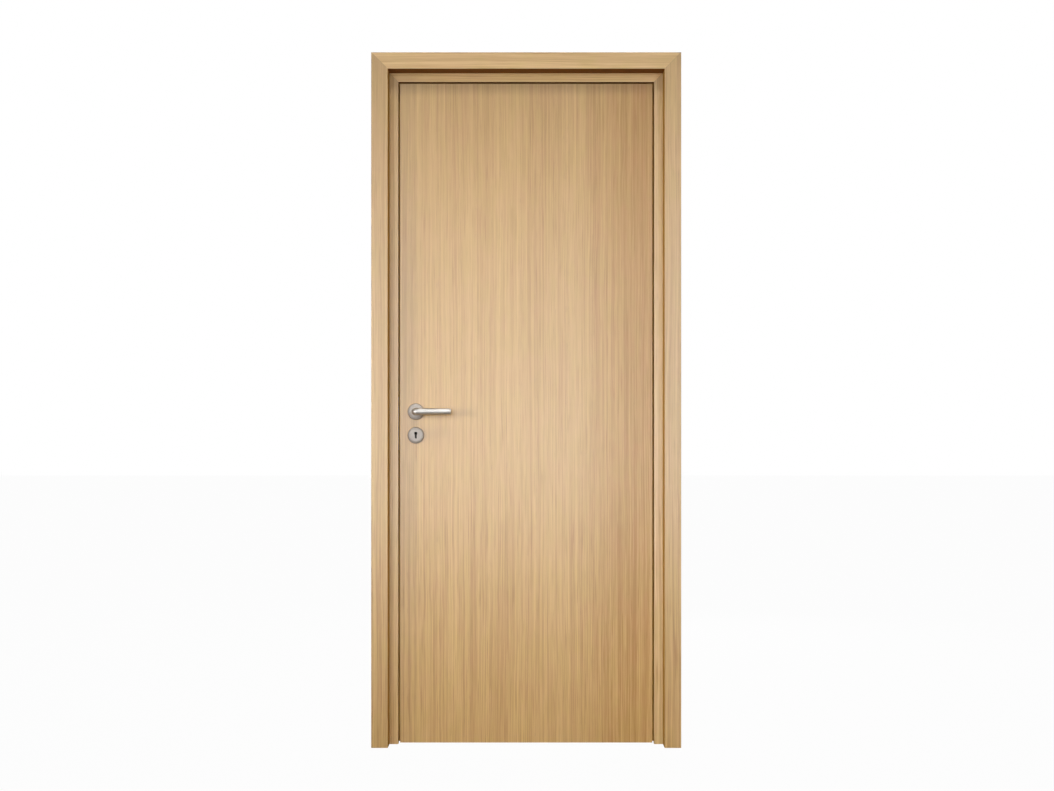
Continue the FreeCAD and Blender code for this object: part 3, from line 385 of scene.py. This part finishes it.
def turned_metal(name, colours, centre, roughness=PLAIN_ROUGHNESS):
    """Satin metal with fine rings round a place; centre holds each axis letter and its metres."""
    made = Nodes(name)
    parts = dict(zip("XYZ", made.split(made.here())))
    squares = []
    for axis, place in centre.items():
        off = made.math("SUBTRACT", parts.pop(axis), place)
        squares.append(made.times(off, off))
    radius = made.math("SQRT", made.add(*squares))
    depth, = parts.values()
    at = made.vector(made.times(radius, TURNED), made.times(depth, TURNED), 0)
    lines = made.noise(at, detail=3)
    return finish_metal(made, lines, made.noise(made.here(), scale=80), colours, roughness)


def blackened_steel(name):
    """Dark oiled steel inside the lock."""
    made = Nodes(name)
    spots = made.noise(made.here(), scale=900, detail=3)
    made.paint(made.mix(spots, *BLACKENED))
    made.bump(spots, SCALE_RELIEF)
    made.feed(Roughness=made.between(spots, 0, 1, 0.55, 0.8), Specular_IOR_Level=0.2)
    return made.material


def rubber(name):
    """Soft brown sealing strip with a fine extruded grain."""
    made = Nodes(name)
    x, y, z = made.split(made.here())
    speckle = made.noise(made.here(), scale=2600)
    made.paint(made.mix(speckle, *RUBBER))
    drawn = made.vector(made.times(x, DRAWN_ACROSS), made.times(y, DRAWN_ACROSS),
                        made.times(z, DRAWN_ALONG))
    made.bump(made.noise(drawn), RUBBER_RELIEF)
    made.feed(Roughness=made.between(speckle, 0, 1, 0.55, 0.75), Specular_IOR_Level=0.1)
    return made.material


# Finishes of the CAD nodes

# Place, direction of the grain, tone, and how much paler; the tone and paleness are painted light
# and painted sheen, set per piece to make up for the light and shade it gets
CASING_OAK_PAINTED_LIGHT = (
    ("hinge_side", "Z", 1.00, 0.05),
    ("lock_side", "Z", 0.95, 0.05),
    ("head", "X", 1.29, 0.35),
)
# Node and the same, with the same painted light and painted sheen
JAMB_OAK_PAINTED_LIGHT = (
    ("hinge_jamb", "Z", 1.17, 0.45),
    ("lock_jamb", "Z", 1.12, 0.20),
    ("head_jamb", "X", 1.45, 0.20),
)
# Node, direction of the grain, and lacquer
LEAF_OAK = (
    ("front_skin", "Z", 1.0),
    ("back_skin", "Z", 1.0),
    ("hinge_stile", "Z", EDGE_LACQUER),
    ("lock_stile", "Z", EDGE_LACQUER),
    ("top_rail", "X", EDGE_LACQUER),
    ("bottom_rail", "X", EDGE_LACQUER),
)


def dress(node, material):
    """Gives a CAD node its material."""
    for slot in nodes[node].material_slots:
        slot.material = material


frame_oak = [("%s_casing_%s" % (face, place), along, tone, painted_sheen)
             for face in ("front", "back") for place, along, tone, painted_sheen in CASING_OAK_PAINTED_LIGHT]
frame_oak.extend(JAMB_OAK_PAINTED_LIGHT)
# Each frame piece's tone and paleness are painted light and painted sheen
for seed, (node, along, tone, painted_sheen) in enumerate(frame_oak, 1):
    dress(node, oak(node + "_oak", along, seed, tone, painted_sheen, mitred=True))
for seed, (node, along, lacquer) in enumerate(LEAF_OAK, len(frame_oak) + 1):
    dress(node, oak(node + "_oak", along, seed, fades_right=True, lacquer=lacquer))
dress("lock_block", softwood("sawn_softwood"))
board = kraft_board("kraft_board")
for node in nodes:
    if node.startswith("honeycomb_core"):
        dress(node, board)
seal_rubber = rubber("seal_rubber")
for place in ("hinge_side", "lock_side", "head"):
    dress("seal_" + place, seal_rubber)

lever_finish = brushed_metal("satin_aluminium_lever", ALUMINIUM, "X", LEVER_ROUGHNESS)
rose_finish = turned_metal("satin_aluminium_rose", ROSE_ALUMINIUM,
                           {"X": ROSE_X, "Z": ROSE_Z}, ROSE_ROUGHNESS)
key_rose_finish = turned_metal("satin_aluminium_key_rose", ROSE_ALUMINIUM,
                               {"X": ROSE_X, "Z": KEY_ROSE_Z}, ROSE_ROUGHNESS)
for face in ("front", "back"):
    dress(face + "_lever", lever_finish)
    dress(face + "_rose", rose_finish)
    dress(face + "_escutcheon", key_rose_finish)
hinge_finish = brushed_metal("satin_nickel_hinge", NICKEL, "X")
for place in ("bottom", "middle", "top"):
    dress("leaf_hinge_" + place, hinge_finish)
    dress("frame_hinge_" + place, hinge_finish)
plate_finish = brushed_metal("brushed_steel_plate", STEEL, "Z")
for node in ("strike_plate", "lock_faceplate", "latch_bolt", "dead_bolt", "lock_case", "spindle"):
    dress(node, plate_finish)


def mesh_object(name, shape):
    """A new object from a bmesh."""
    mesh = bpy.data.meshes.new(name)
    shape.to_mesh(mesh)
    shape.free()
    thing = bpy.data.objects.new(name, mesh)
    bpy.context.scene.collection.objects.link(thing)
    return thing


def add_prism(shape, base, thickness):
    """Adds a closed prism to a bmesh, from the points round its base."""
    face = shape.faces.new([shape.verts.new(point) for point in base])
    grown = bmesh.ops.extrude_face_region(shape, geom=[face])
    moved = [part for part in grown["geom"] if isinstance(part, bmesh.types.BMVert)]
    bmesh.ops.translate(shape, verts=moved, vec=thickness)
    bmesh.ops.recalc_face_normals(shape, faces=shape.faces)


def cut_away(thing, cutter):
    """Takes a cutter's volume out of a piece for good."""
    modifier = thing.modifiers.new("cut", "BOOLEAN")
    modifier.operation = "DIFFERENCE"
    modifier.object = cutter
    done = thing.evaluated_get(bpy.context.evaluated_depsgraph_get())
    mesh = bpy.data.meshes.new_from_object(done)
    thing.modifiers.clear()
    thing.data = mesh
    bpy.data.objects.remove(cutter)


# Screws of the two plates

SCREW_RADIUS = 3.6 * MM
SCREW_DOME = 0.5 * MM
SCREW_SINK = 0.9 * MM
SCREW_FOOT_SHARE = 0.75  # radius of the countersink's foot
SCREW_RINGS = 6
SCREW_AROUND = 48
SCREW_INSET = 12 * MM  # from the plate's end
CROSS_ARM = 4.4 * MM
CROSS_WIDTH = 0.9 * MM
CROSS_FLOOR = -0.15 * MM
CROSS_ROOM = 1.0 * MM
CROSS_TURN = math.pi / 5


def screw_head():
    """A domed countersunk head, with the plate's face at height 0."""
    head = bmesh.new()
    turns = [turn * math.tau / SCREW_AROUND for turn in range(SCREW_AROUND)]
    rows = [[head.verts.new((0, 0, SCREW_DOME))]]
    for ring in range(1, SCREW_RINGS + 1):
        share = ring / SCREW_RINGS
        height = SCREW_DOME * (1 - share * share)
        rows.append([head.verts.new((SCREW_RADIUS * share * math.cos(turn),
                                     SCREW_RADIUS * share * math.sin(turn), height))
                     for turn in turns])
    rows.append([head.verts.new((vert.co.x * SCREW_FOOT_SHARE, vert.co.y * SCREW_FOOT_SHARE,
                                 -SCREW_SINK)) for vert in rows[-1]])
    for turn in range(SCREW_AROUND):
        after = (turn + 1) % SCREW_AROUND
        head.faces.new((rows[0][0], rows[1][turn], rows[1][after]))
        for inner, outer in zip(rows[1:], rows[2:]):
            head.faces.new((inner[turn], outer[turn], outer[after], inner[after]))
    head.faces.new(list(reversed(rows[-1])))
    return head


def cross_prism():
    """The room of a cross recess, turned a little, as one closed shape."""
    arm, half = CROSS_ARM / 2, CROSS_WIDTH / 2
    corners = []
    for turn in range(4):
        spin = Matrix.Rotation(turn * math.pi / 2 + CROSS_TURN, 4, "Z")
        quarter = ((arm, -half), (arm, half), (half, half))
        corners += [spin @ Vector((x, y, CROSS_FLOOR)) for x, y in quarter]
    shape = bmesh.new()
    add_prism(shape, corners, (0, 0, CROSS_ROOM))
    return shape


def screw(name, place, outward, body, material):
    """A countersunk screw's head with a cross recess, in the face of a plate."""
    thing = mesh_object(name, screw_head())
    cut_away(thing, mesh_object(name + "_cross", cross_prism()))
    thing.data.materials.append(material)
    turned = outward.to_track_quat("Z", "Y").to_matrix().to_4x4()
    thing.matrix_world = Matrix.Translation(place) @ turned
    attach(thing, body)


def screw_pair(plate, outward, body, material):
    """One screw near each end of a plate."""
    low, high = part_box(plate)
    face = high.x if outward.x > 0 else low.x
    middle = (low.y + high.y) / 2
    for end, height in (("low", low.z + SCREW_INSET), ("high", high.z - SCREW_INSET)):
        screw("%s_screw_%s" % (plate, end), (face, middle, height), outward, body, material)


screw_finish = turned_metal("zinc_screw", STEEL, {"X": 0.0, "Y": 0.0})
screw_pair("lock_faceplate", Vector((-1, 0, 0)), "leaf", screw_finish)
screw_pair("strike_plate", Vector((1, 0, 0)), "frame", screw_finish)


# Levers of the lock, seen through the keyhole, which they close to the eye

KEY_HEAD_RADIUS = 5 * MM
KEY_HEAD_RISE = 6 * MM
KEY_HEAD_STEPS = 40
KEY_SLOT_HALF = 3 * MM
KEY_SLOT_DROP = 16 * MM
KEY_LAP = 0.05 * MM  # the levers are this much larger than the keyhole
LEVER_COUNT = 3
LEVER_THICKNESS = 1.4 * MM
LEVER_PITCH = 2.2 * MM


def keyhole_outline():
    """Points round the levers, X and Z about the centre of the keyhole's round head."""
    radius = KEY_HEAD_RADIUS + KEY_LAP
    half = KEY_SLOT_HALF + KEY_LAP
    start = math.asin(half / radius)
    sweep = math.tau - 2 * start
    turns = [start + sweep * step / KEY_HEAD_STEPS for step in range(KEY_HEAD_STEPS + 1)]
    head = [(radius * math.sin(turn), -radius * math.cos(turn)) for turn in turns]
    foot = -KEY_SLOT_DROP - KEY_LAP
    return head + [(-half, foot), (half, foot)]


def lock_levers(material):
    """A stack of thin plates with the keyhole's outline, in the middle of the lock case."""
    low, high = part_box("lock_case")
    shape = bmesh.new()
    for number in range(LEVER_COUNT):
        front = (number - (LEVER_COUNT - 1) / 2) * LEVER_PITCH - LEVER_THICKNESS / 2
        base = [(x, front, z) for x, z in keyhole_outline()]
        add_prism(shape, base, (0, LEVER_THICKNESS, 0))
    thing = mesh_object("lock_levers", shape)
    thing.data.materials.append(material)
    thing.location = (ROSE_X, (low.y + high.y) / 2, KEY_ROSE_Z + KEY_HEAD_RISE)
    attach(thing, "leaf")


lock_levers(blackened_steel("blackened_steel"))


# Stage

FLOOR_REACH = 30.0
FLOOR_GREYS = ((0.30, 0.30, 0.30, 1), (0.33, 0.33, 0.33, 1))
FLOOR_WHITE = 0.975  # share of plain white in what the camera sees of the floor
AMBIENT = 0.08

# Lamps: name, place and target as metres right of the door's middle, depth and height, width and
# height of the lamp in metres, watts, and beam in degrees
LAMPS = (
    ("front", (0, -4.4, 1.62), (0, 0, 1.38), 3.4, 1.0, 43, 180),
    ("left", (-1.8, -3.6, 2.30), (0, 0, 0.9), 1.0, 1.3, 19, 180),
    ("right", (1.8, -3.6, 2.30), (0, 0, 0.9), 1.0, 1.3, 21, 180),
    ("side", (-3.0, -1.9, 1.20), (-0.3, 0, 1.05), 0.8, 0.8, 4.0, 50),
    ("upper", (-0.10, -1.45, 3.25), (0, 0, 1.4), 1.6, 0.8, 3.1, 44),
    ("lower", (0, -2.8, 0.90), (0, 0, 0.08), 2.8, 0.7, 4.0, 52),
    ("rear", (0.8, 3.4, 1.80), (0, 0, 1.2), 2.0, 2.0, 90, 180),
)


def pale_floor():
    """A wide pale floor that keeps a soft shadow."""
    shape = bmesh.new()
    bmesh.ops.create_grid(shape, x_segments=2, y_segments=2, size=FLOOR_REACH)
    floor = mesh_object("floor", shape)
    floor.location = (CENTRE_X, 0, 0)
    made = Nodes("pale_floor")
    made.paint(made.mix(made.noise(made.here(), scale=3), *FLOOR_GREYS))
    made.feed(Roughness=0.9)
    glow = made.put("ShaderNodeEmission")
    path = made.put("ShaderNodeLightPath")
    both = made.put("ShaderNodeMixShader")
    made.join(made.times(path.outputs["Is Camera Ray"], FLOOR_WHITE), both.inputs[0])
    made.join(made.shader.outputs[0], both.inputs[1])
    made.join(glow.outputs[0], both.inputs[2])
    made.join(both.outputs[0], made.tree.nodes["Material Output"].inputs["Surface"])
    floor.data.materials.append(made.material)


def white_world():
    """White where the camera sees it, and a low even light elsewhere."""
    world = bpy.data.worlds.new("studio")
    world.use_nodes = True
    bpy.context.scene.world = world
    tree = world.node_tree
    tree.nodes.clear()
    path = tree.nodes.new("ShaderNodeLightPath")
    strength = tree.nodes.new("ShaderNodeMapRange")
    strength.inputs["To Min"].default_value = AMBIENT
    tree.links.new(path.outputs["Is Camera Ray"], strength.inputs["Value"])
    background = tree.nodes.new("ShaderNodeBackground")
    tree.links.new(strength.outputs[0], background.inputs["Strength"])
    background.inputs["Color"].default_value = (1, 1, 1, 1)
    output = tree.nodes.new("ShaderNodeOutputWorld")
    tree.links.new(background.outputs[0], output.inputs["Surface"])


def softbox(name, place, target, width, height, power, spread):
    """A soft rectangular lamp that faces a target."""
    lamp = bpy.data.lights.new(name, "AREA")
    lamp.shape = "RECTANGLE"
    lamp.size = width
    lamp.size_y = height
    lamp.energy = power
    lamp.spread = math.radians(spread)
    thing = bpy.data.objects.new(name, lamp)
    bpy.context.scene.collection.objects.link(thing)
    middle = Vector((CENTRE_X, 0, 0))
    thing.location = middle + Vector(place)
    aim = Vector(target) - Vector(place)
    thing.rotation_euler = aim.to_track_quat("-Z", "Y").to_euler()
    thing.visible_camera = False


pale_floor()
white_world()
for settings in LAMPS:
    softbox(*settings)

# Camera, from the photograph's vanishing point and scale

IMAGE_WIDTH = 1054
IMAGE_HEIGHT = 791
FOCAL_PIXELS = 1546.0
EYE_PIXEL_X = 526.2
EYE_PIXEL_Y = 431.5
EYE_DISTANCE = 4.906
EYE_HEIGHT = 0.992
SENSOR_MM = 36.0

lens = bpy.data.cameras.new("camera")
lens.sensor_fit = "HORIZONTAL"
lens.sensor_width = SENSOR_MM
lens.lens = FOCAL_PIXELS / IMAGE_WIDTH * SENSOR_MM
lens.shift_x = (IMAGE_WIDTH / 2 - EYE_PIXEL_X) / IMAGE_WIDTH
lens.shift_y = (EYE_PIXEL_Y - IMAGE_HEIGHT / 2) / IMAGE_WIDTH
camera = bpy.data.objects.new("camera", lens)
bpy.context.scene.collection.objects.link(camera)
camera.location = (CENTRE_X, -EYE_DISTANCE, EYE_HEIGHT)
camera.rotation_euler = (math.pi / 2, 0, 0)
bpy.context.scene.camera = camera
bpy.context.scene.view_settings.view_transform = "Standard"
